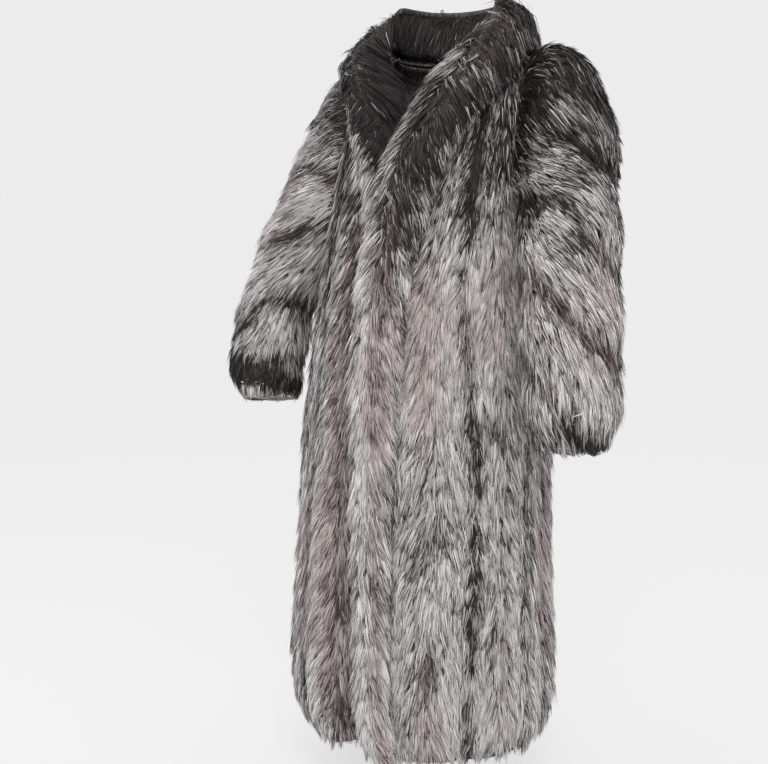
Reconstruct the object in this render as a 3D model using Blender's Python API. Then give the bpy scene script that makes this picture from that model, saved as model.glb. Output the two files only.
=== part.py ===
"""Full-length fur coat with a shawl collar and tuxedo front bands, in the hollow form it keeps when worn.

Metres, +Z up. The front faces -Y and the wearer's left is +X. The origin is the middle of the neckline, at
the height where the yoke rests on the shoulders. Every piece is a bent slab of hide with its dense underfur.
The cloth of the body is one surface, read by the angle round it (0 at centre front, positive towards the
wearer's left) and by the length up it from the hem. The bands and the collar are its points moved out.
"""

import bmesh
import bpy
import numpy as np

# Driving sizes
PELT = 0.016  # a panel: hide and dense underfur
SEAM = 0.0003  # between pieces that are sewn together
TRIM_EDGE = 0.006  # thickness of the bands and the collar along their two edges
COLLAR_WALL = 0.010  # what the roll of the collar adds to that
SIDE_SEAM = 88.0  # the side seams, which run on over the shoulders to the neck
SEAM_ANGLE = 0.06  # a side seam's gap on each side of it, in degrees round the body
SEAM_ALONG = 0.00007  # the gap on each side of the collar's centre back seam, as a share of its length
COLLAR_JOIN = 0.84  # length up the cloth where the tuxedo bands meet the collar
BAND_SHARE = 0.999  # the bands stop short of it by the rest
NECK = 1.33  # length up the cloth of the neck seam
UNDERLAP = 0.0375  # how far in the right front lies where the left front laps over it
LAP_FROM, LAP_TO = -28.0, -8.0  # the right front sinks between these angles
HEM_DIP = 0.020  # the hem hangs this much lower in front than at the sides, and this much higher behind
DIP_FROM = 0.50  # and the dip starts this far up
COLLAR_HOLLOW = 0.17  # the inner face of the collar stands in from each edge by this share of its width
HOLLOW_FROM, HOLLOW_TO = 0.012, 0.060  # between these rolls it turns from a plain slab to a hollow arch
STAND_FROM, STAND_TO = 0.040, 0.090  # and between these from lying on the chest to standing up
NECK_LEAN, OVERHANG = 0.42, 0.30  # slopes of a standing roll: inwards at its top, outwards at its outer edge
LAPEL_ARCH, NECK_ARCH = 0.6, 1.0  # powers of the arch under the roll: the smaller, the squarer
COLLAR_CLEAR = 0.0027  # under the collar's edges, which stand clear of the facets of the panels
LAPEL_CLEAR = 0.0006  # and this much more under the right lapel

# The body from the hem to the neck. The last two columns are the middle of each ring.
BODY = dict(
    up=(0.00, 0.07, 0.32, 0.60, 0.85, 1.03, 1.13, 1.20, 1.25, 1.30, 1.34),
    height=(-1.270, -1.200, -0.950, -0.670, -0.420, -0.240, -0.140, -0.070, -0.028, -0.004, 0.008),
    width=(0.252, 0.262, 0.258, 0.246, 0.230, 0.212, 0.205, 0.196, 0.172, 0.136, 0.102),
    front=(0.200, 0.210, 0.207, 0.202, 0.197, 0.188, 0.174, 0.152, 0.128, 0.104, 0.086),
    back=(0.196, 0.208, 0.204, 0.192, 0.180, 0.170, 0.158, 0.142, 0.124, 0.106, 0.090),
    x=(-0.046, -0.050, -0.052, -0.044, -0.026, -0.012, -0.004, 0.000, 0.000, 0.000, 0.000),
    y=(-0.030, -0.030, -0.026, -0.018, -0.012, -0.006, -0.002, 0.000, 0.000, 0.000, 0.000),
)

# Soft troughs that run down the cloth: angle, half width in degrees, depth, and where each starts and ends
TROUGHS = (
    (22.0, 7.0, 0.005, 0.20, 0.80),
    (43.0, 8.0, 0.009, -0.10, 0.96),
    (66.0, 7.0, 0.006, -0.10, 0.60),
    (88.0, 8.0, 0.008, -0.10, 0.70),
    (107.0, 8.0, 0.007, -0.10, 0.78),
    (131.0, 8.0, 0.010, -0.10, 0.94),
    (154.0, 7.0, 0.006, 0.05, 0.84),
    (178.0, 8.0, 0.011, -0.10, 0.98),
    (-158.0, 7.0, 0.006, -0.10, 0.66),
    (-134.0, 8.0, 0.010, 0.00, 0.92),
    (-110.0, 8.0, 0.007, -0.10, 0.74),
    (-88.0, 8.0, 0.008, -0.10, 0.70),
    (-66.0, 7.0, 0.006, -0.10, 0.56),
    (-45.0, 8.0, 0.010, -0.10, 0.92),
)

# The front edge of the left front, from the hem past the lapel to the neck, and the seam of its tuxedo band
FRONT = dict(
    up=(0.00, 0.20, 0.50, 0.84, 0.92, 0.99, 1.06, 1.12, 1.20, 1.27, 1.30, 1.33),
    edge=(0.0, -2.0, -6.5, -11.5, -9.5, -8.0, -4.5, 3.0, 15.0, 33.0, 45.0, 58.0),
    band=(11.0, 9.0, 8.0, 10.0, 13.5, 16.5, 22.0, 33.0, 48.0, 66.0, 74.0, 80.0),
)

# The collar, from the left lapel round the back of the neck to the right lapel: its base on the edge of the
# fronts and the neck seam, its outer edge, and how high its roll stands between them
COLLAR = dict(
    along=(
        *(0.00, 0.07, 0.13, 0.19, 0.25, 0.31, 0.37, 0.43, 0.50),
        *(0.57, 0.63, 0.69, 0.75, 0.81, 0.87, 0.93, 1.00),
    ),
    base_angle=(-11.5, -9.2, -6.3, 2, 14, 32, 53, 88, 180, 272, 307, 328, 346, 358, 366.3, 369.2, 371.5),
    base_up=(
        *(0.84, 0.935, 1.03, 1.11, 1.19, 1.26, 1.31, 1.325, 1.325),
        *(1.325, 1.31, 1.26, 1.19, 1.11, 1.03, 0.935, 0.84),
    ),
    outer_angle=(10, 14, 18.5, 27.5, 38, 54, 70, 98, 180, 262, 290, 306, 322, 332.5, 341.5, 346, 350),
    outer_up=(
        *(0.84, 0.92, 1.01, 1.09, 1.155, 1.215, 1.265, 1.285, 1.235),
        *(1.285, 1.265, 1.215, 1.155, 1.09, 1.01, 0.92, 0.84),
    ),
    roll=(
        *(0.010, 0.020, 0.028, 0.034, 0.046, 0.066, 0.084, 0.096, 0.102),
        *(0.096, 0.080, 0.056, 0.034, 0.010, 0.010, 0.010, 0.010),
    ),
)

# The sleeves, armhole to cuff: the outermost and the innermost point of each ring on the wearer's left, and
# the half depth of the ring
LEFT_SLEEVE = dict(
    along=(0.00, 0.08, 0.17, 0.28, 0.42, 0.62, 0.80, 0.93, 1.00),
    outer_x=(0.148, 0.205, 0.257, 0.292, 0.341, 0.369, 0.377, 0.374, 0.358),
    outer_y=(0.004, 0.002, -0.004, -0.022, -0.078, -0.135, -0.150, -0.155, -0.152),
    outer_z=(-0.034, -0.004, -0.030, -0.110, -0.262, -0.422, -0.564, -0.662, -0.714),
    inner_x=(0.140, 0.152, 0.164, 0.174, 0.185, 0.213, 0.222, 0.228, 0.242),
    inner_y=(0.004, 0.000, -0.008, -0.030, -0.092, -0.143, -0.154, -0.155, -0.152),
    inner_z=(-0.212, -0.236, -0.262, -0.290, -0.326, -0.444, -0.572, -0.664, -0.714),
    deep=(0.084, 0.092, 0.097, 0.097, 0.093, 0.087, 0.084, 0.078, 0.062),
)
RIGHT_SLEEVE = dict(
    along=(0.00, 0.08, 0.17, 0.28, 0.42, 0.62, 0.80, 0.93, 1.00),
    outer_x=(0.148, 0.203, 0.256, 0.302, 0.357, 0.411, 0.437, 0.430, 0.410),
    outer_y=(0.004, 0.004, 0.002, -0.006, -0.026, -0.056, -0.078, -0.086, -0.090),
    outer_z=(-0.034, -0.006, -0.036, -0.126, -0.262, -0.420, -0.548, -0.620, -0.656),
    inner_x=(0.140, 0.152, 0.164, 0.178, 0.218, 0.290, 0.304, 0.301, 0.306),
    inner_y=(0.004, 0.002, 0.000, -0.010, -0.034, -0.066, -0.082, -0.088, -0.090),
    inner_z=(-0.212, -0.236, -0.262, -0.290, -0.338, -0.474, -0.572, -0.624, -0.648),
    deep=(0.084, 0.092, 0.096, 0.096, 0.090, 0.082, 0.080, 0.072, 0.060),
)
SLEEVE_START = 0.002
SLEEVE_CUTTER_END = 0.56  # the part of a sleeve that cuts its armhole out of the body
LEDGES = (0.36, 0.55, 0.74, 0.93)  # the pelts set across a sleeve each end in a soft ledge
CHEVRON = 0.20  # and rises this far from the outside of the arm to the inside
LEDGE = 0.007

# Facets: up the body below and above the collar join, across each panel, and across and along the rest
SKIRT_FACETS, YOKE_FACETS = 12, 7
BACK_FACETS, FRONT_FACETS, BAND_FACETS = 26, 12, 3
COLLAR_FACETS, LAPEL_FACETS, NECK_FACETS = 7, 12, 6  # across, along one lapel, and on to the centre back
LAPEL_END = 0.43  # where a lapel turns into the back of the neck, as a share of the collar's length
SLEEVE_FACETS = (18, 15)

FUR = dict(colour=(0.250, 0.230, 0.230, 1), roughness=0.85)
DARK_FUR = dict(colour=(0.085, 0.075, 0.072, 1), roughness=0.85)


def read(table, key, column, at):
    """The column's value where the key column has the value 'at', on one smooth curve through the rows."""
    x, y = np.array(table[key], float), np.array(table[column], float)
    slope = np.gradient(y, x)
    at = np.clip(at, x[0], x[-1])
    row = np.clip(np.searchsorted(x, at, side="right") - 1, 0, len(x) - 2)
    step = x[row + 1] - x[row]
    t = (at - x[row]) / step
    ends = y[row] * (1 + 2 * t) * (1 - t) ** 2 + y[row + 1] * t**2 * (3 - 2 * t)
    return ends + step * t * (1 - t) * (slope[row] * (1 - t) - slope[row + 1] * t)


def smooth(low, high, at):
    """0 below low, 1 above high and an S between."""
    t = np.clip((at - low) / (high - low), 0, 1)
    return t * t * (3 - 2 * t)


def unit(vectors):
    return vectors / np.linalg.norm(vectors, axis=-1, keepdims=True)


def troughs(angle, up):
    """How far the soft troughs take the cloth inwards."""
    depth = 0.0
    for centre, half_width, deepest, start, end in TROUGHS:
        off = (angle - centre + 180) % 360 - 180
        along = smooth(start, start + 0.10, up) * (1 - smooth(end - 0.16, end, up))
        depth = depth + deepest * along * np.exp(-((off / half_width) ** 2))
    return depth


def body(angle, up):
    """A point on the outer face of the body: an oval whose size and middle follow the length up the cloth."""
    angle, up = np.broadcast_arrays(angle, up)
    turn = np.radians(angle)
    inwards = troughs(angle, up)
    depth = np.where(np.cos(turn) > 0, read(BODY, "up", "front", up), read(BODY, "up", "back", up))
    x = read(BODY, "up", "x", up) + (read(BODY, "up", "width", up) - inwards) * np.sin(turn)
    y = read(BODY, "up", "y", up) - (depth - inwards) * np.cos(turn)
    z = read(BODY, "up", "height", up) - HEM_DIP * smooth(DIP_FROM, 0, up) * np.cos(turn)
    return np.stack([x, y, z], axis=-1)


def body_normal(angle, up):
    up = np.clip(up, 0.002, 1.338)
    round_it = body(angle + 0.5, up) - body(angle - 0.5, up)
    up_it = body(angle, up + 0.002) - body(angle, up - 0.002)
    return unit(np.cross(round_it, up_it))


def under_lap(angle):
    """How far in the right front lies, so that it passes beneath the left."""
    angle = (angle + 180) % 360 - 180
    return UNDERLAP * smooth(LAP_FROM, LAP_TO, angle) * (angle < 60)


def lifted(angle, up, lift):
    """A point of the body's surface moved out along its normal."""
    return body(angle, up) + body_normal(angle, up) * np.asarray(lift, float)[..., None]


def sleeve(table, side, around, along, grow=0.0):
    """A point on a sleeve: an oval between a ring's outermost and innermost points, square to its run."""
    around, along = np.broadcast_arrays(around, along)

    def end(name, at):
        return np.stack([read(table, "along", name + axis, np.clip(at, 0, 1)) for axis in "xyz"], axis=-1)

    outer, inner = end("outer_", along), end("inner_", along)
    ahead = sum(end(name, along + 0.02) - end(name, along - 0.02) for name in ("outer_", "inner_"))
    across = unit(outer - inner)
    fore = unit(np.cross(ahead, across))
    turn = 2 * np.pi * around
    row = along + CHEVRON * (1 - np.cos(turn)) / 2
    ledge = sum(LEDGE * smooth(at - 0.14, at, row) * (1 - smooth(at, at + 0.04, row)) for at in LEDGES)
    grow = grow + ledge * smooth(0.10, 0.24, along)
    half = np.linalg.norm(outer - inner, axis=-1) / 2 + grow
    deep = read(table, "along", "deep", along) + grow
    out, ahead = (half * np.cos(turn))[..., None], (deep * np.sin(turn))[..., None]
    return ((outer + inner) / 2 + across * out + fore * ahead) * (side, 1, 1)


def closed_shell(name, outer, inner, round_it, folder):
    """One closed solid between two grids of points, which join into rings if round_it is true."""
    count, rows = outer.shape[:2]
    column = count if round_it else count - 1
    faces = []
    for i in range(column):
        k = (i + 1) % count
        for j in range(rows - 1):
            a, b, c, d = i * rows + j, k * rows + j, k * rows + j + 1, i * rows + j + 1
            faces.append((a, b, c, d))
            faces.append(tuple(count * rows + corner for corner in (d, c, b, a)))
        for j, flip in ((0, False), (rows - 1, True)):
            rim = (i * rows + j, count * rows + i * rows + j, count * rows + k * rows + j, k * rows + j)
            faces.append(rim[::-1] if flip else rim)
    if not round_it:
        for i, flip in ((0, True), (count - 1, False)):
            for j in range(rows - 1):
                a, b = i * rows + j, i * rows + j + 1
                rim = (a, count * rows + a, count * rows + b, b)
                faces.append(rim[::-1] if flip else rim)
    return solid(name, np.concatenate([outer.reshape(-1, 3), inner.reshape(-1, 3)]), faces, folder)


def capped_tube(name, rings, folder):
    """A solid filled from its first ring to its last."""
    count, rows = rings.shape[:2]
    faces = [
        (i * rows + j, (i + 1) % count * rows + j, (i + 1) % count * rows + j + 1, i * rows + j + 1)
        for i in range(count)
        for j in range(rows - 1)
    ]
    faces.append(tuple(i * rows for i in range(count)))
    faces.append(tuple(i * rows + rows - 1 for i in range(count))[::-1])
    return solid(name, rings.reshape(-1, 3), faces, folder)


def solid(name, points, faces, folder):
    """An object with triangular faces that all look outwards."""
    mesh = bpy.data.meshes.new(name)
    mesh.from_pydata([tuple(point) for point in points], [], faces)
    form = bmesh.new()
    form.from_mesh(mesh)
    bmesh.ops.recalc_face_normals(form, faces=form.faces)
    bmesh.ops.triangulate(form, faces=form.faces, quad_method="FIXED", ngon_method="BEAUTY")
    form.to_mesh(mesh)
    form.free()
    made = bpy.data.objects.new(name, mesh)
    folder.objects.link(made)
    return made


def subtract(made, cutter):
    cut = made.modifiers.new("less " + cutter.name, "BOOLEAN")
    cut.operation, cut.solver, cut.object = "DIFFERENCE", "EXACT", cutter


def finish(made, look):
    material = bpy.data.materials.new(made.name)
    material.use_nodes = True
    shader = material.node_tree.nodes["Principled BSDF"]
    shader.inputs["Base Color"].default_value = look["colour"]
    shader.inputs["Roughness"].default_value = look["roughness"]
    made.data.materials.append(material)


for old in list(bpy.data.objects):
    bpy.data.objects.remove(old)
coat = bpy.data.collections.new("fur_coat")
cutters = bpy.data.collections.new("cutters")
bpy.context.scene.collection.children.link(coat)
bpy.context.scene.collection.children.link(cutters)

# The three panels of the body share their rows, so that their seams and all that lies on them stay even.
skirt = np.linspace(0, COLLAR_JOIN, SKIRT_FACETS + 1)
rows = np.concatenate([skirt, np.linspace(COLLAR_JOIN, NECK, YOKE_FACETS + 1)[1:]])


def columns(first, last, facets):
    """Facet columns from one edge to the other, each edge an angle or an angle for every row."""
    return first + (last - first) * np.linspace(0, 1, facets + 1)[:, None]


def front_angles(edge, band):
    """The columns of a front: first those that its band covers, then the rest as far as the side seam."""
    side = SIDE_SEAM - SEAM_ANGLE
    covered = columns(edge, band, BAND_FACETS)
    return np.concatenate([covered, columns(band, side, FRONT_FACETS)[1:]])


back_angles = columns(SIDE_SEAM + SEAM_ANGLE, 360 - SIDE_SEAM - SEAM_ANGLE, BACK_FACETS)
back = closed_shell("back", lifted(back_angles, rows, 0), lifted(back_angles, rows, -PELT), False, coat)

edge, band = read(FRONT, "up", "edge", rows), read(FRONT, "up", "band", rows)
front_columns = front_angles(edge, band)
fronts, bands = {}, {}
for name, side in (("left", 1), ("right", -1)):
    angles = side * front_columns
    sunk = under_lap(angles) if side < 0 else 0 * angles
    panel = lifted(angles, rows, -sunk), lifted(angles, rows, -PELT - sunk)
    fronts[name] = closed_shell("front_" + name, *panel, False, coat)
    angles = angles[: BAND_FACETS + 1, : SKIRT_FACETS + 1]
    sunk = sunk[: BAND_FACETS + 1, : SKIRT_FACETS + 1]
    dome = COLLAR["roll"][0] * np.array([0, 1, 1, 0])[:, None]
    top, under = SEAM + TRIM_EDGE + dome - sunk, SEAM - sunk
    laid = lifted(angles, skirt * BAND_SHARE, top), lifted(angles, skirt * BAND_SHARE, under)
    bands[name] = closed_shell("tuxedo_band_" + name, *laid, False, coat)

# Each half of the collar is an arch that stands on the panels with both its edges.


def collar(across, along, depth):
    """A point of the collar, from its outer face at depth 0 to its inner face at depth 1."""
    roll = read(COLLAR, "along", "roll", along)
    stand, neck = smooth(HOLLOW_FROM, HOLLOW_TO, roll), smooth(STAND_FROM, STAND_TO, roll)
    inset = across + depth * COLLAR_HOLLOW * stand * (1 - 2 * across)
    arch = (4 * across * (1 - across)) ** (LAPEL_ARCH + (NECK_ARCH - LAPEL_ARCH) * neck)
    base_angle, base_up = read(COLLAR, "along", "base_angle", along), read(COLLAR, "along", "base_up", along)
    angle = base_angle + (read(COLLAR, "along", "outer_angle", along) - base_angle) * inset
    up = base_up + (read(COLLAR, "along", "outer_up", along) - base_up) * inset
    right = smooth(0.5, 1 - LAPEL_END + 0.03, along)
    sunk, clear = under_lap(angle) * right, COLLAR_CLEAR + LAPEL_CLEAR * smooth(0.6, 0.8, along)
    lift = clear + (1 - depth) * TRIM_EDGE + arch * (roll - depth * COLLAR_WALL * stand)
    normal = body_normal(angle, up)
    turn = np.radians(angle)
    level = np.stack([np.sin(turn), -np.cos(turn), 0 * turn], axis=-1)
    upright = level * (OVERHANG * inset - NECK_LEAN * arch)[..., None] + (0, 0, 1)
    direction = normal * (1 - neck[..., None]) + upright * neck[..., None]
    return body(angle, up) - normal * sunk[..., None] + direction * lift[..., None]


halves = {}
lapel = np.linspace(0, LAPEL_END, LAPEL_FACETS + 1)
half = np.concatenate([lapel, np.linspace(LAPEL_END, 0.5 - SEAM_ALONG, NECK_FACETS + 1)[1:]])
for name, along in (("left", half), ("right", 1 - half[::-1])):
    across, along = np.meshgrid(np.linspace(0, 1, COLLAR_FACETS + 1), along, indexing="ij")
    laid = collar(across, along, 0.0), collar(across, along, 1.0)
    halves[name] = closed_shell("collar_" + name, *laid, False, coat)

# Each sleeve is a tube. It cuts its armhole out of the body, whose hollow cuts off the tube's inner end.
around, run = SLEEVE_FACETS
turns = np.arange(around)[:, None] / around
runs = np.linspace(SLEEVE_START, 1, run + 1)[None, :]
hollow = capped_tube("hollow", lifted(np.arange(0, 360, 9.0)[:, None], rows, -PELT), cutters)
for name, side, table in (("left", 1, LEFT_SLEEVE), ("right", -1, RIGHT_SLEEVE)):
    faces = sleeve(table, side, turns, runs), sleeve(table, side, turns, runs, -PELT)
    wall = closed_shell("sleeve_" + name, *faces, True, coat)
    subtract(wall, hollow)
    cut_runs = np.concatenate([[[0.0]], runs[:, runs[0] < SLEEVE_CUTTER_END]], axis=1)
    armhole = capped_tube("armhole_" + name, sleeve(table, side, turns, cut_runs, SEAM), cutters)
    for panel in (back, fronts[name]):
        subtract(panel, armhole)
    finish(wall, FUR)

for made in (back, *fronts.values(), *bands.values()):
    finish(made, FUR)
for made in halves.values():
    finish(made, DARK_FUR)
for cutter in cutters.objects:
    cutter.display_type = "WIRE"
    cutter.hide_render = True
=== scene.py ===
"""Full-length fox coat in the hollow form it keeps when worn: hide and underfur under long guard hair."""

import math

import bmesh
import bpy
import numpy as np
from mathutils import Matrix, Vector
from mathutils.kdtree import KDTree


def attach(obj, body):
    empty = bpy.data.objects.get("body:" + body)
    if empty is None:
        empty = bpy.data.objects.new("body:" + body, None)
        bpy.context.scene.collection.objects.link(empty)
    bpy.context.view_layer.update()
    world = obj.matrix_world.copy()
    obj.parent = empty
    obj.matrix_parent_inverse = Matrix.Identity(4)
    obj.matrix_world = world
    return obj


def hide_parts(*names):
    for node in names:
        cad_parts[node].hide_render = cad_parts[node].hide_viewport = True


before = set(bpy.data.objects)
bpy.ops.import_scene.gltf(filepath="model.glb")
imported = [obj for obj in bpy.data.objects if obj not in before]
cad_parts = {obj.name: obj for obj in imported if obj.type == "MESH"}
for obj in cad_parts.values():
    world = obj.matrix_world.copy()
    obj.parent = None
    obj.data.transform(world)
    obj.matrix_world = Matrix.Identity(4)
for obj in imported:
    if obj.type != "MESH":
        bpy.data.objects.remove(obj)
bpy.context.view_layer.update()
dice = np.random.default_rng(11)

# ---------------------------------------------------------------- The back
# The back is one panel of let-out fox pelts from side seam to side seam and from hem to neck: hide with dense
# underfur. Its surface is an oval, read by the angle round it and the length up it, and every guard hair is a
# narrow blade rooted there.

BODY = dict(
    up=(0.00, 0.07, 0.32, 0.60, 0.85, 1.03, 1.13, 1.20, 1.25, 1.30, 1.34),
    height=(-1.270, -1.200, -0.950, -0.670, -0.420, -0.240, -0.140, -0.070, -0.028, -0.004, 0.008),
    width=(0.252, 0.262, 0.258, 0.246, 0.230, 0.212, 0.205, 0.196, 0.172, 0.136, 0.102),
    front=(0.200, 0.210, 0.207, 0.202, 0.197, 0.188, 0.174, 0.152, 0.128, 0.104, 0.086),
    back=(0.196, 0.208, 0.204, 0.192, 0.180, 0.170, 0.158, 0.142, 0.124, 0.106, 0.090),
    x=(-0.046, -0.050, -0.052, -0.044, -0.026, -0.012, -0.004, 0.000, 0.000, 0.000, 0.000),
    y=(-0.030, -0.030, -0.026, -0.018, -0.012, -0.006, -0.002, 0.000, 0.000, 0.000, 0.000),
)
# Soft troughs that run down the cloth: angle, half width in degrees, depth, and where each starts and ends
TROUGHS = (
    (22.0, 7.0, 0.005, 0.20, 0.80),
    (43.0, 8.0, 0.009, -0.10, 0.96),
    (66.0, 7.0, 0.006, -0.10, 0.60),
    (88.0, 8.0, 0.008, -0.10, 0.70),
    (107.0, 8.0, 0.007, -0.10, 0.78),
    (131.0, 8.0, 0.010, -0.10, 0.94),
    (154.0, 7.0, 0.006, 0.05, 0.84),
    (178.0, 8.0, 0.011, -0.10, 0.98),
    (-158.0, 7.0, 0.006, -0.10, 0.66),
    (-134.0, 8.0, 0.010, 0.00, 0.92),
    (-110.0, 8.0, 0.007, -0.10, 0.74),
    (-88.0, 8.0, 0.008, -0.10, 0.70),
    (-66.0, 7.0, 0.006, -0.10, 0.56),
    (-45.0, 8.0, 0.010, -0.10, 0.92),
)
SIDE_SEAM = 88
NECK = 1.33
HEM = 0.012  # where the hide ends above the hem of the fur
HEM_ROOTS = 0.030  # the lowest hairs grow here and reach the hem
HEM_CURL = 0.022  # how far the face turns in towards the hem, between these two lengths
HEM_TURN = (0.07, -0.05)
HEM_SHORT = 0.28  # how much shorter, as a share, the hair is at the hem, between these two lengths
HEM_SHORTENS = (0.02, 0.12)
HEM_DIP, DIP_FROM = 0.020, 0.50  # how much lower the hem hangs in front and higher behind, from this far up
NORMAL_TOP = 1.338  # above this the body's normal stays as it is here
UNDER = 0.010  # from the face of the fur down to the hide
HIDE_WALL = 0.004


def read(table, key, column, at):
    """The column's value where the key column is 'at': a smooth curve, straight on past the table's ends."""
    x, y = np.array(table[key], float), np.array(table[column], float)
    slope = np.gradient(y, x)
    inside = np.clip(at, x[0], x[-1])
    row = np.clip(np.searchsorted(x, inside, side="right") - 1, 0, len(x) - 2)
    step = x[row + 1] - x[row]
    t = (inside - x[row]) / step
    ends = y[row] * (1 + 2 * t) * (1 - t) ** 2 + y[row + 1] * t**2 * (3 - 2 * t)
    value = ends + step * t * (1 - t) * (slope[row] * (1 - t) - slope[row + 1] * t)
    return value + (at - inside) * np.where(at < x[0], slope[0], slope[-1])


def smooth(low, high, at):
    """0 at low, 1 at high, an S between them and flat outside."""
    t = np.clip((at - low) / (high - low), 0, 1)
    return t * t * (3 - 2 * t)


def hump(centre, half, at):
    """A bell that is 1 at the centre and fades over the half width."""
    return np.exp(-(((at - centre) / half) ** 2))


def wrap(angle):
    """The same angle between -180 and 180 degrees."""
    return (angle + 180) % 360 - 180


def unit(vectors):
    """Each vector at length 1."""
    return vectors / np.maximum(np.linalg.norm(vectors, axis=-1, keepdims=True), 1e-12)


def body(angle, up):
    """A point on the face of the body: an oval about its middle, less the troughs and the turned hem."""
    angle, up = np.broadcast_arrays(angle, up)
    turn = np.radians(angle)
    inwards = HEM_CURL * smooth(*HEM_TURN, up)
    for centre, half_width, deepest, start, end in TROUGHS:
        along = smooth(start, start + 0.10, up) * (1 - smooth(end - 0.16, end, up))
        inwards = inwards + deepest * along * hump(0, half_width, wrap(angle - centre))
    depth = np.where(np.cos(turn) > 0, read(BODY, "up", "front", up), read(BODY, "up", "back", up))
    x = read(BODY, "up", "x", up) + (read(BODY, "up", "width", up) - inwards) * np.sin(turn)
    y = read(BODY, "up", "y", up) - (depth - inwards) * np.cos(turn)
    z = read(BODY, "up", "height", up) - HEM_DIP * smooth(DIP_FROM, 0, up) * np.cos(turn)
    return np.stack([x, y, z], axis=-1)


def body_normal(angle, up):
    """Out of the body: round it crossed with up it."""
    up = np.minimum(up, NORMAL_TOP)
    round_it = body(angle + 0.5, up) - body(angle - 0.5, up)
    up_it = body(angle, up + 0.002) - body(angle, up - 0.002)
    return unit(np.cross(round_it, up_it))


# The sleeves, armhole to cuff: the outermost and the innermost point of each ring on the wearer's left, and
# the half depth of the ring. The back needs them for its armholes.
SLEEVES = {
    "left": dict(
        along=(0.00, 0.08, 0.17, 0.28, 0.42, 0.62, 0.80, 0.93, 1.00),
        outer_x=(0.148, 0.205, 0.257, 0.292, 0.341, 0.369, 0.377, 0.374, 0.358),
        outer_y=(0.004, 0.002, -0.004, -0.022, -0.078, -0.135, -0.150, -0.155, -0.152),
        outer_z=(-0.034, -0.004, -0.030, -0.110, -0.262, -0.422, -0.564, -0.662, -0.714),
        inner_x=(0.140, 0.152, 0.164, 0.174, 0.185, 0.213, 0.222, 0.228, 0.242),
        inner_y=(0.004, 0.000, -0.008, -0.030, -0.092, -0.143, -0.154, -0.155, -0.152),
        inner_z=(-0.212, -0.236, -0.262, -0.290, -0.326, -0.444, -0.572, -0.664, -0.714),
        deep=(0.084, 0.092, 0.097, 0.097, 0.093, 0.087, 0.084, 0.078, 0.062),
    ),
    "right": dict(
        along=(0.00, 0.08, 0.17, 0.28, 0.42, 0.62, 0.80, 0.93, 1.00),
        outer_x=(0.148, 0.203, 0.256, 0.302, 0.357, 0.411, 0.437, 0.430, 0.410),
        outer_y=(0.004, 0.004, 0.002, -0.006, -0.026, -0.056, -0.078, -0.086, -0.090),
        outer_z=(-0.034, -0.006, -0.036, -0.126, -0.262, -0.420, -0.548, -0.620, -0.656),
        inner_x=(0.140, 0.152, 0.164, 0.178, 0.218, 0.290, 0.304, 0.301, 0.306),
        inner_y=(0.004, 0.002, 0.000, -0.010, -0.034, -0.066, -0.082, -0.088, -0.090),
        inner_z=(-0.212, -0.236, -0.262, -0.290, -0.338, -0.474, -0.572, -0.624, -0.648),
        deep=(0.084, 0.092, 0.096, 0.096, 0.090, 0.082, 0.080, 0.072, 0.060),
    ),
}


def sleeve_ring(table, along):
    """The two ends of the ring at each length, the way across it and the way to its front."""

    def end(name, at):
        return np.stack([read(table, "along", name + axis, np.clip(at, 0, 1)) for axis in "xyz"], axis=-1)

    outer, inner = end("outer_", along), end("inner_", along)
    ahead = sum(end(name, along + 0.02) - end(name, along - 0.02) for name in ("outer_", "inner_"))
    across = unit(outer - inner)
    return outer, inner, across, unit(np.cross(ahead, across))


RING_REACH = 0.012  # how far before and behind a ring of the sleeve it counts


def in_armhole(points, inset=0.010):
    """Whether each point lies in either sleeve near the shoulder, shrunk by the inset."""
    found = np.zeros(points.shape[:-1], bool)
    runs = np.linspace(0.0, 0.6, 50)
    for side, table in ((1, SLEEVES["left"]), (-1, SLEEVES["right"])):
        outer, inner, across, fore = sleeve_ring(table, runs)
        middle, heading = (outer + inner) / 2, unit(np.cross(across, fore))
        half = np.linalg.norm(outer - inner, axis=-1) / 2 - inset
        deep = read(table, "along", "deep", runs) - inset
        for k in range(len(runs)):
            off = points * (side, 1, 1) - middle[k]
            oval = (off @ across[k] / half[k]) ** 2 + (off @ fore[k] / deep[k]) ** 2
            found |= (np.abs(off @ heading[k]) < RING_REACH) & (oval < 1)
    return found


def hem_share(up):
    """The share of its full length that hair has this far up."""
    return (1 - HEM_SHORT) + HEM_SHORT * smooth(*HEM_SHORTENS, up)


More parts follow.
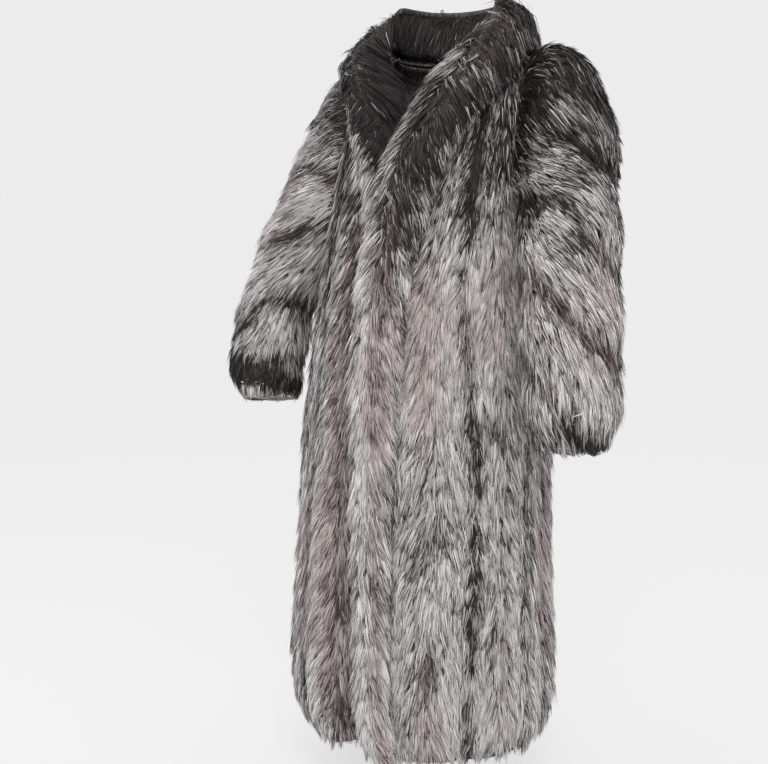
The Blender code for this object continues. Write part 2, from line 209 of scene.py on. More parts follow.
class Pelt:
    """A surface worked out once on a fine grid of two parameters, then read anywhere between its lines."""

    def __init__(self, shape, a, b, outward=1):
        self.a, self.b = a, b
        self.points = shape(*np.meshgrid(a, b, indexing="ij"))
        along_a, along_b = np.gradient(self.points, a, axis=0), np.gradient(self.points, b, axis=1)
        self.normals = unit(np.cross(along_a, along_b)) * outward
        self.size_a, self.size_b = np.linalg.norm(along_a, axis=-1), np.linalg.norm(along_b, axis=-1)

    def pick(self, field, a, b):
        """The field's value at (a, b), blended from the four grid points round it."""
        i = np.clip((a - self.a[0]) / (self.a[1] - self.a[0]), 0, len(self.a) - 1.001)
        j = np.clip((b - self.b[0]) / (self.b[1] - self.b[0]), 0, len(self.b) - 1.001)
        k, m = i.astype(int), j.astype(int)
        s, t = i - k, j - m
        if field.ndim == 3:
            s, t = s[:, None], t[:, None]
        near = field[k, m] * (1 - t) + field[k, m + 1] * t
        far = field[k + 1, m] * (1 - t) + field[k + 1, m + 1] * t
        return near * (1 - s) + far * s

    def at(self, a, b, lift=None):
        point = self.pick(self.points, a, b)
        return point if lift is None else point + self.pick(self.normals, a, b) * lift[:, None]

    def scatter(self, count, keep):
        """Places spread evenly over the area of the surface where keep(a, b, points) holds."""
        step_a, step_b = self.a[1] - self.a[0], self.b[1] - self.b[0]
        area = (self.size_a * self.size_b)[:-1, :-1]
        grid_a, grid_b = np.meshgrid(self.a[:-1] + step_a / 2, self.b[:-1] + step_b / 2, indexing="ij")
        kept = keep(grid_a.ravel(), grid_b.ravel(), self.points[:-1, :-1].reshape(-1, 3))
        weight = np.cumsum(area.ravel() * kept)
        if count is None:
            count = int(weight[-1] * step_a * step_b / LOCK**2)
        cell = np.searchsorted(weight / weight[-1], dice.random(count))
        i, j = np.unravel_index(np.minimum(cell, weight.size - 1), area.shape)
        a, b = self.a[i] + dice.random(count) * step_a, self.b[j] + dice.random(count) * step_b
        fine = keep(a, b, self.at(a, b))
        return a[fine], b[fine]


def waves(seed, scale, count=7):
    """A soft random field over space, about -1 to 1 and 'scale' metres across: sines in random directions."""
    own = np.random.default_rng(seed)
    way = unit(own.normal(size=(count, 3))) * own.uniform(0.7, 1.5, (count, 1)) * np.pi / scale
    shift = own.uniform(0, 2 * np.pi, count)
    return lambda points: np.sin(points @ way.T + shift).sum(axis=-1) / math.sqrt(count) * 1.2


# Small patches of tone, slow changes of it over the coat, and the sway of the hair's direction
mottle, drift, sway = waves(1, 0.060), waves(2, 0.25), waves(3, 0.12)


class Wire:
    """A shader socket on which Python's operators add Math nodes."""

    def __init__(self, tree, socket):
        self.tree, self.socket = tree, socket

    def node(self, kind, settings, *values, out=0):
        """Adds a node: its settings first, then the values or links of its inputs. Its output is 'out'."""
        made = self.tree.nodes.new(kind)
        for key, value in settings.items():
            setattr(made, key, value)
        for socket, value in zip(made.inputs, values):
            if isinstance(value, Wire):
                self.tree.links.new(value.socket, socket)
            else:
                socket.default_value = value
        return Wire(self.tree, made.outputs[out])

    def math(self, operation, first, second):
        return self.node("ShaderNodeMath", {"operation": operation}, first, second)

    def __add__(self, other):
        return self.math("ADD", self, other)

    def __sub__(self, other):
        return self.math("SUBTRACT", self, other)

    def __rsub__(self, other):
        return self.math("SUBTRACT", other, self)

    def __mul__(self, other):
        return self.math("MULTIPLY", self, other)

    def __gt__(self, other):
        return self.math("GREATER_THAN", self, other)

    __radd__ = __add__

    def ramp(self, low, high):
        """0 at low, 1 at high and an S between them."""
        soft = {"interpolation_type": "SMOOTHSTEP"}
        return self.node("ShaderNodeMapRange", soft, self, low, high, 0.0, 1.0)

    def blend(self, first, second):
        """The first colour where this is 0 and the second where it is 1."""
        made = self.tree.nodes.new("ShaderNodeMix")
        made.data_type = "RGBA"
        self.tree.links.new(self.socket, made.inputs["Factor"])
        for socket, colour in zip(made.inputs[6:8], (first, second)):
            if isinstance(colour, Wire):
                self.tree.links.new(colour.socket, socket)
            else:
                socket.default_value = (*colour, 1)
        return Wire(self.tree, made.outputs[2])


def add_object(name, data):
    """A new object of this data in the scene."""
    made = bpy.data.objects.new(name, data)
    bpy.context.scene.collection.objects.link(made)
    return made


def finish_of(name, roughness, specular):
    """A new material, its shader and a wire to start expressions from."""
    made = bpy.data.materials.new(name)
    made.use_nodes = True
    shader = made.node_tree.nodes["Principled BSDF"]
    shader.inputs["Roughness"].default_value = roughness
    shader.inputs["Specular IOR Level"].default_value = specular
    return made, shader, Wire(made.node_tree, None)


# Guard hair is dark at its root, has a silver band and ends in a dark tip. Along a hair the map's v runs from
# root to tip. Its u is how silver the hair is: grey hair in the left half of the map, brown in the right.
BROWN_HALF = 0.5
LEAST_U, SPAN_U = 0.01, 0.48  # where each half's dullest hair lies, and from there to its most silver one
guard_hair, shader, start = finish_of("guard_hair", 0.50, 0.22)
place = start.node("ShaderNodeUVMap", {"uv_map": "OFBake"})
u = start.node("ShaderNodeSeparateXYZ", {}, place)
v = Wire(u.tree, u.socket.node.outputs[1])
brown = u > BROWN_HALF
silver = (u - brown * BROWN_HALF - LEAST_U) * (1 / SPAN_U)
root = brown.blend((0.036, 0.030, 0.030), (0.115, 0.078, 0.075))
tip = brown.blend((0.016, 0.013, 0.013), (0.045, 0.030, 0.029))
grey_band = silver.ramp(0.15, 0.90).blend((0.190, 0.176, 0.174), (0.72, 0.695, 0.685))
brown_band = silver.ramp(0.15, 0.90).blend((0.200, 0.158, 0.156), (0.56, 0.482, 0.472))
band_start = 0.56 - silver * 0.46
band_end = 0.66 + silver * 0.40
banded, tipped = v.ramp(band_start, band_start + 0.14), v.ramp(band_end, band_end + 0.10)
shown = banded * (1.0 - tipped) * silver.ramp(0.14, 0.26)
colour = shown.blend(v.ramp(0.3, 0.7).blend(root, tip), brown.blend(grey_band, brown_band))
colour.tree.links.new(colour.socket, shader.inputs["Base Color"])

# Hide and underfur is a dull grey-brown nap in fine streaks that run down the coat.
hide, shader, start = finish_of("hide_and_underfur", 0.95, 0.1)
place = start.node("ShaderNodeTexCoord", {}, out=3)
streak = start.node("ShaderNodeVectorMath", {"operation": "MULTIPLY"}, place, (420, 420, 26))
fleck = start.node("ShaderNodeTexNoise", {}, streak, 0.0, 1.0, 2.0)
nap = fleck.ramp(0.40, 0.66).blend((0.034, 0.028, 0.028), (0.150, 0.132, 0.130))
nap.tree.links.new(nap.socket, shader.inputs["Base Color"])
bump = start.node("ShaderNodeBump", {}, 0.2, 0.002)
fleck.tree.links.new(fleck.socket, bump.socket.node.inputs["Height"])
fleck.tree.links.new(bump.socket, shader.inputs["Normal"])

LOCK = 0.010  # from one lock of hair to the next
LENGTH, RISE, THICK = 0.050, 0.20, 0.0017  # of a hair, its rise a share of its length
STEEPEST = 1.7  # and no hair rises more than this many times as far
BLADE_U = 0.0014  # half a hair's width in the map
# Scatter of the locks and of the hairs in them: turns in degrees, the twist in radians, lengths and rises as
# natural logarithms
LOCKS = dict(turn=6, length=0.12, rise=0.28, silver=0.10)
HAIRS = dict(turn=5, rise=0.20, twist=0.45, silver=0.22, brown=0.16)
# Ranges of a hair's length and width, as shares, and of how far it leans to its lock
LENGTHS, WIDTHS, GATHERED = (0.75, 1.08), (0.7, 1.2), (0.35, 0.85)
# The three points of a hair: how far up it each lies, how far along the cloth and how far out of it
JOINTS = dict(along=(0.0, 0.5, 1.0), reach=(0.0, 0.46, 0.96), out=(0.0, 0.62, 0.90))


def grow(name, pelt, count, keep, style, under=UNDER, length=LENGTH, rise=RISE):
    """Guard hair as one mesh: bent blades of two triangles that lean to the middle of their lock.

    style(a, b, points) gives a hair's way along a and b, how silver and brown it is, its share of the length.
    """
    a, b = pelt.scatter(count, keep)
    lock_a, lock_b = pelt.scatter(None, keep)
    lock_root = pelt.at(lock_a, lock_b)
    tree = KDTree(len(lock_root))
    for index, point in enumerate(lock_root):
        tree.insert(point, index)
    tree.balance()
    origin = pelt.at(a, b)
    mine = np.array([tree.find(point)[1] for point in origin])

    def way(a, b, points, wobble):
        """The step in a and b for each metre of hair, turned by the wobble, and the rest of the style."""
        way_a, way_b, *rest = style(a, b, points)
        turn = np.radians(wobble)
        turned_a = way_a * np.cos(turn) - way_b * np.sin(turn)
        turned_b = way_a * np.sin(turn) + way_b * np.cos(turn)
        norm = np.maximum(np.hypot(turned_a, turned_b), 1e-9)
        step_a = turned_a / norm / pelt.pick(pelt.size_a, a, b)
        step_b = turned_b / norm / pelt.pick(pelt.size_b, a, b)
        return (step_a, step_b, *rest)

    locks, hairs = len(lock_a), len(a)
    lock_turn = dice.normal(0, LOCKS["turn"], locks)
    lock_length = length * np.exp(dice.normal(0, LOCKS["length"], locks))
    lock_rise = rise * np.exp(dice.normal(0, LOCKS["rise"], locks))
    lock_silver = dice.normal(0, LOCKS["silver"], locks)
    lock_step_a, lock_step_b = way(lock_a, lock_b, lock_root, lock_turn)[:2]
    own_turn = lock_turn[mine] + dice.normal(0, HAIRS["turn"], hairs)
    step_a, step_b, silvery, browning, share = way(a, b, origin, own_turn)
    size = lock_length[mine] * share * dice.uniform(*LENGTHS, hairs)
    climb = np.minimum(lock_rise[mine] * np.exp(dice.normal(0, HAIRS["rise"], hairs)), STEEPEST * rise)
    gather = dice.uniform(*GATHERED, hairs)
    joints = []
    for along, reach, out in zip(*JOINTS.values()):
        far = reach * size
        pull = gather * along**1.3
        to_a = a + step_a * far + pull * (lock_a[mine] + lock_step_a[mine] * far - a - step_a * far)
        to_b = b + step_b * far + pull * (lock_b[mine] + lock_step_b[mine] * far - b - step_b * far)
        joints.append(pelt.at(to_a, to_b, out * climb * size - under))
    root, middle, tip = joints
    run = unit(tip - root)
    flat = unit(np.cross(run, pelt.pick(pelt.normals, a, b)))
    twist = dice.normal(0, HAIRS["twist"], hairs)[:, None]
    flat = flat * np.cos(twist) + unit(np.cross(flat, run)) * np.sin(twist)
    half = THICK * dice.uniform(*WIDTHS, hairs)[:, None] / 2
    points = np.stack([root, middle + flat * half, tip, middle - flat * half], axis=1)
    corners = np.arange(hairs)[:, None] * 4 + np.array([0, 1, 3, 3, 1, 2])
    mesh = bpy.data.meshes.new(name)
    mesh.vertices.add(hairs * 4)
    mesh.vertices.foreach_set("co", points.ravel())
    mesh.loops.add(corners.size)
    mesh.loops.foreach_set("vertex_index", corners.ravel())
    mesh.polygons.add(hairs * 2)
    mesh.polygons.foreach_set("loop_start", np.arange(hairs * 2) * 3)
    mesh.polygons.foreach_set("loop_total", np.full(hairs * 2, 3))
    mesh.update()
    is_silver = np.clip(silvery + lock_silver[mine] + dice.normal(0, HAIRS["silver"], hairs), 0, 1)
    is_brown = browning + dice.normal(0, HAIRS["brown"], hairs) > 0.5
    across = (LEAST_U + SPAN_U * is_silver + BROWN_HALF * is_brown)[:, None]
    across = across + BLADE_U * np.array([0, 1, -1, -1, 1, 0])
    upward = np.tile([0.01, 0.5, 0.5, 0.5, 0.5, 0.99], (hairs, 1))
    mesh.uv_layers.new(name="OFBake").data.foreach_set("uv", np.stack([across, upward], axis=-1).ravel())
    mesh.materials.append(guard_hair)
    made = add_object(name, mesh)
    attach(made, "root")
    return made


def line_with_hide(name, node, pelt, keep, under=UNDER, every=3, closed=False):
    """The hide under the hair: some lines of the pelt's grid, moved in to the roots, with a wall.

    It takes every so many lines, and a closed one is a tube whose two edges are joined.
    """
    a, b = pelt.a[::every], pelt.b[::every]
    points = (pelt.points - pelt.normals * under)[::every, ::every]
    columns, rows = points.shape[:2]
    i, j = np.meshgrid(np.arange(columns - 1), np.arange(rows - 1), indexing="ij")
    middle = (points[:-1, :-1] + points[1:, 1:]) / 2
    middle_a, middle_b = (a[i] + a[i + 1]) / 2, (b[j] + b[j + 1]) / 2
    kept = keep(middle_a.ravel(), middle_b.ravel(), middle.reshape(-1, 3)).reshape(i.shape)
    first = (i * rows + j)[kept]
    quads = first[:, None] + np.array([0, rows, rows + 1, 1])
    used, packed = np.unique(quads, return_inverse=True)
    mesh = bpy.data.meshes.new(name)
    mesh.from_pydata(points.reshape(-1, 3)[used].tolist(), [], packed.reshape(-1, 4).tolist())
    if closed:
        form = bmesh.new()
        form.from_mesh(mesh)
        bmesh.ops.remove_doubles(form, verts=form.verts, dist=1e-5)
        form.to_mesh(mesh)
        form.free()
    mesh.shade_smooth()
    mesh.materials.append(hide)
    made = add_object(name, mesh)
    wall = made.modifiers.new("hide", "SOLIDIFY")
    wall.thickness, wall.offset = HIDE_WALL, -1.0
    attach(made, "root")
    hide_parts(node)


# The lines where pelts meet and the dark backs of the pelts between them: angle, half width in degrees, how
# much darker and browner the hair is there, and how far it fans away on both sides, in degrees
PELT_LINES = (
    (2, 2.0, 0.26, 0.20, 6),
    (19, 6.0, 0.04, 0.50, 14),
    (38.5, 2.0, 0.38, 0.10, 14),
    (53, 5.0, 0.04, 0.25, 10),
    (67, 2.6, 0.30, 0.10, 12),
    (83, 5.0, 0.16, 0.45, 12),
    (99, 2.6, 0.30, 0.10, 12),
    (115, 5.0, 0.16, 0.50, 12),
    (132, 2.6, 0.32, 0.10, 12),
    (149, 5.0, 0.14, 0.50, 12),
    (166, 2.6, 0.32, 0.10, 12),
    (183, 5.0, 0.16, 0.50, 12),
    (200, 2.6, 0.32, 0.10, 12),
    (217, 5.0, 0.16, 0.50, 12),
    (234, 2.6, 0.30, 0.10, 12),
    (250, 5.0, 0.18, 0.50, 12),
    (267, 2.6, 0.30, 0.10, 12),
    (290, 7.0, 0.26, 0.35, 12),
    (314, 3.5, 0.40, 0.15, 12),
    (337, 6.0, 0.22, 1.10, 24),
)
LINES_TURN = 6  # the lines turn this far towards the wearer's left between these lengths
TURN_FROM, TURN_TO = 1.0, 0.5
BODY_SILVER, BODY_BROWN = 0.62, 0.16  # how silver and how brown the hair is away from the lines
SHOULDERS_DARK = 0.32  # how much darker it gets over the shoulders, between these lengths
DARKENS = (0.80, 1.16)


def body_style(angle, up, points):
    """Down the body, fanned and darkened about the pelt lines, dark over the shoulders, short at the hem."""
    angle = angle + 1.0 * drift(points) + 0.4 * mottle(points) - LINES_TURN * smooth(TURN_FROM, TURN_TO, up)
    fan, dark, brown = 0.0, 0.0, BODY_BROWN
    for centre, half, darker, browner, spread in PELT_LINES:
        off = wrap(angle - centre) / half
        here = hump(0, 1, off)
        dark, brown = dark + darker * here, brown + browner * here * 0.75
        fan = fan + spread * off * np.exp(0.5 - 0.5 * off**2)
    chest = smooth(0.78, 1.0, up) * hump(24, 18, wrap(angle))
    silver = BODY_SILVER - dark + 0.08 * mottle(points) + 0.06 * drift(points)
    silver = silver - SHOULDERS_DARK * smooth(*DARKENS, up)
    turn = np.radians(fan - 20 * chest + 6 * sway(points))
    brown = brown + 0.2 * drift(points) - 0.2 * smooth(0.9, 1.2, up)
    return np.sin(turn), -np.cos(turn), silver, brown, hem_share(up)


body_rows = np.linspace(-0.06, 1.345, 250)
pelt = Pelt(body, np.linspace(80, 280, 260), body_rows)


def back_hide(angle, up, points):
    inside = (angle > SIDE_SEAM) & (angle < 360 - SIDE_SEAM) & (up > HEM) & (up < NECK)
    return inside & ~in_armhole(points)


def back_roots(angle, up, points):
    return back_hide(angle, up, points) & (up > HEM_ROOTS)


hair = grow("fur_back", pelt, 86000, back_roots, body_style)
line_with_hide("hide_back", "back", pelt, back_hide)

# ---------------------------------------------------------------- The fronts
# The two fronts are cut from the same pelts as the back. The left front laps over the right, whose inner edge
# passes beneath it. Both carry guard hair only where no band or collar lies on them.

FRONT = dict(
    up=(0.00, 0.20, 0.50, 0.84, 0.92, 0.99, 1.06, 1.12, 1.20, 1.27, 1.30, 1.33),
    edge=(0.0, -2.0, -6.5, -11.5, -9.5, -8.0, -4.5, 3.0, 15.0, 33.0, 45.0, 58.0),
    band=(11.0, 9.0, 8.0, 10.0, 13.5, 16.5, 22.0, 33.0, 48.0, 66.0, 74.0, 80.0),
)
UNDERLAP = 0.0375  # how far in the right front lies where the left front laps over it
LAP_FROM, LAP_TO, LAP_END = -28, -8, 60  # it sinks in from the first angle to the second, up to the last
TUCK = 4  # the right front is bare from this many degrees past the left one's edge
COLLAR_JOIN = 0.84  # length up the cloth where the tuxedo bands meet the collar
COVER = 3  # the band and the collar hide this many degrees of the hair beside them


def front_line(column, up):
    """The angle of the front's edge or of the band's seam at each length."""
    return read(FRONT, "up", column, np.clip(up, 0, NECK))


def under_lap(angle):
    """How far in the right front lies at each angle."""
    angle = wrap(angle)
    return UNDERLAP * smooth(LAP_FROM, LAP_TO, angle) * (angle < LAP_END)


def right_body(angle, up):
    return body(angle, up) - body_normal(angle, up) * under_lap(angle)[..., None]


for name, side, shape, count in (("left", 1, body, 92000), ("right", -1, right_body, 62000)):
    reach = np.linspace(-24, 98, 170)
    pelt = Pelt(shape, reach if side > 0 else -reach[::-1], body_rows)

    def front_hide(angle, up, points):
        inside = (side * angle > front_line("edge", up)) & (side * angle < SIDE_SEAM)
        inside &= (up > HEM) & (up < NECK)
        return inside & ~in_armhole(points)

    def front_roots(angle, up, points):
        edge = front_line("edge", up)
        shows = side * angle > front_line("band", up) - COVER
        if side < 0:
            shows = np.where(up < COLLAR_JOIN, angle < edge + TUCK, shows & (angle < edge))
        return front_hide(angle, up, points) & (up > HEM_ROOTS) & shows

    hair = grow("fur_front_" + name, pelt, count, front_roots, body_style)
    flat = (0.46, 1.33)
    line_with_hide("hide_front_" + name, "front_" + name, pelt, front_hide)

# ---------------------------------------------------------------- The tuxedo bands
# A band of pelt set lengthways runs up each front edge from the hem to the collar. It is domed, with a brown
# back down its middle from which the hair fans to both edges.

BAND_EDGE, BAND_DOME = 0.006, 0.010
BAND_UNDER = 0.005  # from its face down to its hide
BAND_SILVER, BAND_BROWN = 0.68, 0.20  # how silver and how brown it is away from its middle
SEAM = 0.0003  # the gap between the panel and the band


def band_style(across, up, points):
    """Down the band, fanned from its middle, with a brown back and a dark seam, darker towards its top."""
    out = np.radians(30 * (across - 0.45) * 2 + 6 * sway(points))
    silver = BAND_SILVER - 0.20 * hump(0.62, 0.16, across) - 0.34 * smooth(0.86, 1.0, across)
    silver = silver + 0.10 * mottle(points) + 0.06 * drift(points) - 0.30 * smooth(0.66, 0.86, up)
    brown = BAND_BROWN + 0.55 * hump(0.65, 0.2, across) + 0.15 * drift(points)
    return np.sin(out), -np.cos(out), silver, brown, hem_share(up)


for name, side, count in (("left", 1, 22000), ("right", -1, 3000)):

    def band(across, up):
        """The strip between the front edge and the band's seam, moved out by its edge and its dome."""
        edge = front_line("edge", up)
        angle = side * (edge + (front_line("band", up) - edge) * across)
        dome = np.clip(4 * across * (1 - across), 0, 1) ** 0.6
        lift = SEAM + BAND_EDGE + BAND_DOME * dome - (under_lap(angle) if side < 0 else 0)
        return body(angle, up) + body_normal(angle, up) * lift[..., None]

    pelt = Pelt(band, np.linspace(-0.3, 1.3, 60), np.linspace(-0.06, 0.90, 170), side)

    def band_hide(across, up, points):
        return (across > 0) & (across < 1) & (up > HEM) & (up < COLLAR_JOIN)

    def band_roots(across, up, points):
        return band_hide(across, up, points) & (up > HEM_ROOTS)

    hair = grow("fur_band_" + name, pelt, count, band_roots, band_style, under=BAND_UNDER)
    node, flat = "tuxedo_band_" + name, (0.08, 0.84)
    line_with_hide("hide_band_" + name, node, pelt, band_hide, under=BAND_UNDER)

# ---------------------------------------------------------------- The collar
# The shawl collar is two halves, joined at the back of the neck, that roll over and run down into the bands.
# It is darker, longer fur: black-brown along its roll, silver at its edges and black inside the right lapel.

COLLAR = dict(
    along=(
        *(0.00, 0.07, 0.13, 0.19, 0.25, 0.31, 0.37, 0.43, 0.50),
        *(0.57, 0.63, 0.69, 0.75, 0.81, 0.87, 0.93, 1.00),
    ),
    base_angle=(-11.5, -9.2, -6.3, 2, 14, 32, 53, 88, 180, 272, 307, 328, 346, 358, 366.3, 369.2, 371.5),
    base_up=(
        *(0.84, 0.935, 1.03, 1.11, 1.19, 1.26, 1.31, 1.325, 1.325),
        *(1.325, 1.31, 1.26, 1.19, 1.11, 1.03, 0.935, 0.84),
    ),
    outer_angle=(10, 14, 18.5, 27.5, 38, 54, 70, 98, 180, 262, 290, 306, 322, 332.5, 341.5, 346, 350),
    outer_up=(
        *(0.84, 0.92, 1.01, 1.09, 1.155, 1.215, 1.265, 1.285, 1.235),
        *(1.285, 1.265, 1.215, 1.155, 1.09, 1.01, 0.92, 0.84),
    ),
    roll=(
        *(0.010, 0.020, 0.028, 0.034, 0.046, 0.066, 0.084, 0.096, 0.102),
        *(0.096, 0.080, 0.056, 0.034, 0.010, 0.010, 0.010, 0.010),
    ),
)
STAND_FROM, STAND_TO = 0.040, 0.090  # the rolls between which it turns from lying on the chest to standing up
NECK_LEAN, OVERHANG = 0.42, 0.30  # slopes of a standing roll: inwards at its top, outwards at its outer edge
LAPEL_ARCH, NECK_ARCH = 0.6, 1.0  # powers of the arch under the roll: the smaller, the squarer
COLLAR_CLEAR = 0.0027  # how far it stands off the panels
COLLAR_UNDER, COLLAR_ROOTS = 0.005, 0.006  # from its face down to its hide and to the roots of its hair
COLLAR_HAIR = dict(under=COLLAR_ROOTS, length=0.052, rise=0.24)
INNER_FLAP, OUTER_FLAP = 0.12, 0.16  # beyond its edges the hide comes down on the panels over these shares
BARE_END = 0.92  # the right half has no hair past here, under the lap
COLLAR_SILVER, COLLAR_BROWN = 0.35, 0.15  # how silver and how brown it is away from its roll


def collar(across, along):
    """An arch from the neck seam to the outer edge, out of the cloth on the lapels and up round the neck."""
    roll = read(COLLAR, "along", "roll", along)
    neck = smooth(STAND_FROM, STAND_TO, roll)
    arch = np.maximum(4 * across * (1 - across), 0) ** (LAPEL_ARCH + (NECK_ARCH - LAPEL_ARCH) * neck)
    base_angle, base_up = read(COLLAR, "along", "base_angle", along), read(COLLAR, "along", "base_up", along)
    angle = base_angle + (read(COLLAR, "along", "outer_angle", along) - base_angle) * across
    up = base_up + (read(COLLAR, "along", "outer_up", along) - base_up) * across
    sunk = under_lap(angle) * smooth(0.5, 0.6, along)
    edge = smooth(-INNER_FLAP, 0, across) * smooth(1 + OUTER_FLAP, 1, across)
    lift = (COLLAR_CLEAR + BAND_EDGE) * edge + arch * roll
    normal = body_normal(angle, up)
    turn = np.radians(angle)
    level = np.stack([np.sin(turn), -np.cos(turn), 0 * turn], axis=-1)
    upright = level * (OVERHANG * across - NECK_LEAN * arch)[..., None] + (0, 0, 1)
    direction = normal * (1 - neck[..., None]) + upright * neck[..., None]
    return body(angle, up) - normal * sunk[..., None] + direction * lift[..., None]


def collar_style(across, along, points):
    """Out from the roll to both edges and down the lapels, with the inside of the right half black."""
    side = np.where(along < 0.5, -1.0, 1.0)
    lapel = smooth(0.12, 0.34, np.abs(along - 0.5))
    out = np.where(across > 0.42, 0.55 + 0.5 * across, -0.85 + across)
    out = out * (1 - 0.35 * lapel) + (1 - lapel) * 0.3
    down = side * (0.12 + 0.95 * lapel)
    turn = np.radians(10 * sway(points))
    way = out * np.cos(turn) - down * np.sin(turn), out * np.sin(turn) + down * np.cos(turn)
    inner = smooth(0.50, 0.30, across)
    silver = COLLAR_SILVER - 0.34 * hump(0.56, 0.20, across) + 0.12 * mottle(points) + 0.08 * drift(points)
    silver = silver + 0.14 * inner * (along < 0.5) - 0.60 * inner * (along >= 0.5) * smooth(0.50, 0.56, along)
    silver = silver + 0.42 * smooth(0.52, 0.80, across) * smooth(0.50, 0.60, along)
    silver = silver + 0.22 * smooth(0.16, 0.02, along)
    brown = COLLAR_BROWN + 0.55 * hump(0.52, 0.22, across) * (along < 0.55) + 0.15 * drift(points)
    return *way, silver, brown, 1.05 + 0.1 * (1 - lapel)


pelt = Pelt(collar, np.linspace(-0.35, 1.35, 120), np.linspace(-0.03, 1.03, 420))
for name, start, end in (("left", 0.0, 0.5), ("right", 0.5, 1.0)):

    def collar_hide(across, along, points):
        inside = (across > -INNER_FLAP) & (across < 1 + OUTER_FLAP)
        return inside & (along > start) & (along < end)

    def collar_roots(across, along, points):
        return (across > 0.01) & (across < 0.99) & (along > start) & (along < min(end, BARE_END))

    hair = grow("fur_collar_" + name, pelt, 30000, collar_roots, collar_style, **COLLAR_HAIR)
    node, flat, under = "collar_" + name, (0.20, 0.73), COLLAR_UNDER
    line_with_hide("hide_collar_" + name, node, pelt, collar_hide, under=under)

# ---------------------------------------------------------------- The sleeves
# Each full sleeve is a tube of pelts set slantwise across it, whose lower edges are soft ledges with painted
# shade in a dark line below and a faint painted highlight above. The hair runs down the arm, away from its
# inside. A black band goes round the right cuff.

LEDGES = (0.36, 0.55, 0.74, 0.93)  # where down the sleeve each pelt's lower edge stands out
CHEVRON, LEDGE = 0.20, 0.007  # how much higher up the edge is on the arm's inside, and how far it stands
SLEEVE_HIDE, SLEEVE_ROOTS = 0.985, 0.975  # how far down the sleeve its hide and its hair go
SLEEVE_SILVER, SLEEVE_BROWN = 0.60, 0.16  # how silver and how brown the hair is where nothing darkens it
CUFF_BAND, CUFF_HALF = 0.83, 0.055  # where the black band lies down the right sleeve, and half its width


def in_body(points, inset=0.012):
    """Whether each point lies inside the body, shrunk by the inset."""
    up = np.interp(points[..., 2], BODY["height"], BODY["up"])
    x, y = points[..., 0] - read(BODY, "up", "x", up), points[..., 1] - read(BODY, "up", "y", up)
    depth = np.where(y < 0, read(BODY, "up", "front", up), read(BODY, "up", "back", up))
    oval = (x / (read(BODY, "up", "width", up) - inset)) ** 2 + (y / (depth - inset)) ** 2
    return (oval < 1) & (points[..., 2] < 0.006 - inset)


for name, side, count in (("left", 1, 62000), ("right", -1, 52000)):

    def sleeve(around, along):
        """An oval between the ring's outermost and innermost points, grown by the ledges."""
        outer, inner, across, fore = sleeve_ring(SLEEVES[name], along)
        turn = 2 * np.pi * around
        row = along + CHEVRON * (1 - np.cos(turn)) / 2
        ledge = sum(LEDGE * smooth(at - 0.14, at, row) * (1 - smooth(at, at + 0.04, row)) for at in LEDGES)
        ledge = ledge * smooth(0.10, 0.24, along)
        half = (np.linalg.norm(outer - inner, axis=-1) / 2 + ledge) * np.cos(turn)
        deep = (read(SLEEVES[name], "along", "deep", along) + ledge) * np.sin(turn)
        return ((outer + inner) / 2 + across * half[..., None] + fore * deep[..., None]) * (side, 1, 1)

    def sleeve_style(around, along, points):
        """Down the arm, out from its inside; dark at shoulder and right cuff; painted shade under the ledges.
        """
        turn = 2 * np.pi * around
        row = along + CHEVRON * (1 - np.cos(turn)) / 2 + 0.012 * mottle(points)
        way = np.radians(-np.sin(turn) * (36 - 16 * smooth(0.4, 1.0, along)) + 6 * sway(points))
        # painted shade: a dark line just under each ledge, and a faint painted highlight on the ledge's bulge
        # above it
        under = sum(hump(at + 0.030, 0.024, row) for at in LEDGES)
        over = sum(hump(at - 0.030, 0.040, row) for at in LEDGES)
        shoulder = 0.42 * (1 - smooth(0.10, 0.62, along)) + 0.15 * hump(0.02, 0.08, along)
        dark = 0.10 + 0.40 * under - 0.08 * over + shoulder
        if side < 0:
            band = hump(CUFF_BAND, CUFF_HALF, along + 0.03 * np.cos(turn))
            dark = dark + 0.90 * band - 0.06 - 0.20 * hump(0.3, 0.2, along) - 0.12 * smooth(0.86, 0.94, along)
        silver = SLEEVE_SILVER - dark + 0.10 * mottle(points) + 0.06 * drift(points)
        brown = SLEEVE_BROWN + 0.5 * np.clip(dark, 0, 1) + 0.2 * drift(points)
        return np.sin(way), np.cos(way), silver, brown, 1.0 - 0.15 * smooth(0.85, 1.0, along)

    pelt = Pelt(sleeve, np.linspace(-0.2, 1.2, 141), np.linspace(0.0, 1.08, 160), side)

    def sleeve_hide(around, along, points):
        return (around > 0) & (around < 1) & (along < SLEEVE_HIDE) & ~in_body(points)

    def sleeve_roots(around, along, points):
        return sleeve_hide(around, along, points) & (along < SLEEVE_ROOTS)

    hair = grow("fur_sleeve_" + name, pelt, count, sleeve_roots, sleeve_style)
    node, flat = "sleeve_" + name, (0.54, 0.66)
    line_with_hide("hide_sleeve_" + name, node, pelt, sleeve_hide, every=2, closed=True)

# ---------------------------------------------------------------- The studio
# A plain pale floor that meets a pale surround of the same grey, a large soft lamp from the wearer's left and
# a weaker one from the right. The floor glows a little, so that no horizon shows.

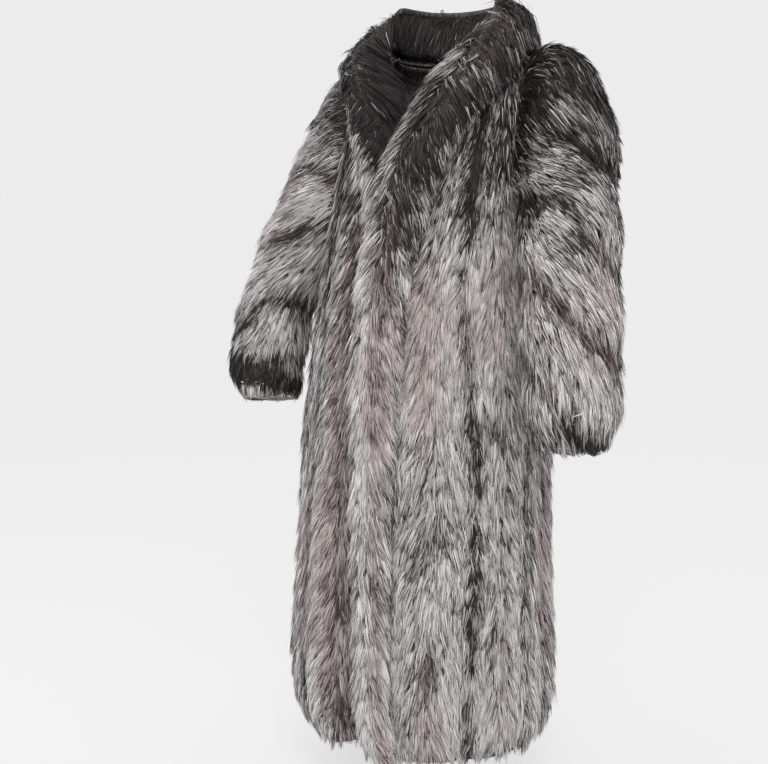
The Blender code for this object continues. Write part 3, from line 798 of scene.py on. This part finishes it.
SURROUND = 0.84
GLOW = 0.78  # the share of the floor's grey that it gives off, and the rest is lit
FLOOR, FLOOR_HALF = -1.345, 14  # its height, an ankle's height below the hem, and half its width
scene = bpy.context.scene
world = scene.world or bpy.data.worlds.new("studio")
scene.world = world
world.use_nodes = True
world.node_tree.nodes["Background"].inputs["Color"].default_value = (SURROUND, SURROUND, SURROUND, 1)

mesh = bpy.data.meshes.new("floor")
corners = [(x * FLOOR_HALF, y * FLOOR_HALF, FLOOR) for x, y in ((-1, -1), (1, -1), (1, 1), (-1, 1))]
mesh.from_pydata(corners, [], [(0, 1, 2, 3)])
floor = add_object("floor", mesh)
pale, shader, start = finish_of("pale_floor", 0.9, 0.0)
shader.inputs["Base Color"].default_value = (1 - GLOW, 1 - GLOW, 1 - GLOW, 1)
shader.inputs["Emission Color"].default_value = (SURROUND, SURROUND, SURROUND, 1)
shader.inputs["Emission Strength"].default_value = GLOW
mesh.materials.append(pale)


def aim(made, way):
    """Turns a lamp or camera, which look down their own -Z, to look along 'way' with +Y up."""
    made.rotation_mode = "QUATERNION"
    made.rotation_quaternion = way.to_track_quat("-Z", "Y")


middle = Vector((0, 0, -0.5))
LAMPS = (("key", (1.6, -2.6, 1.6), 1.6, 60), ("fill", (-2.4, -1.6, 0.9), 2.0, 20))
for name, place, size, power in LAMPS:
    data = bpy.data.lights.new(name, "AREA")
    data.size, data.energy = size, power
    lamp = add_object(name, data)
    lamp.location = place
    aim(lamp, middle - Vector(place))

AZIMUTH, DISTANCE = math.radians(27), 2.3
LEFT_OFF, DOWN_OFF = 0.057, 0.049  # how far off its middle the camera looks, as slopes
ahead = Vector((-math.sin(AZIMUTH), math.cos(AZIMUTH), 0))
right = Vector((math.cos(AZIMUTH), math.sin(AZIMUTH), 0))
data = bpy.data.cameras.new("camera")
data.lens, data.sensor_width = 56.7, 36.0
camera = add_object("camera", data)
camera.location = middle - ahead * DISTANCE
aim(camera, ahead - right * LEFT_OFF - Vector((0, 0, DOWN_OFF)))
scene.camera = camera
scene.view_settings.view_transform = "Standard"
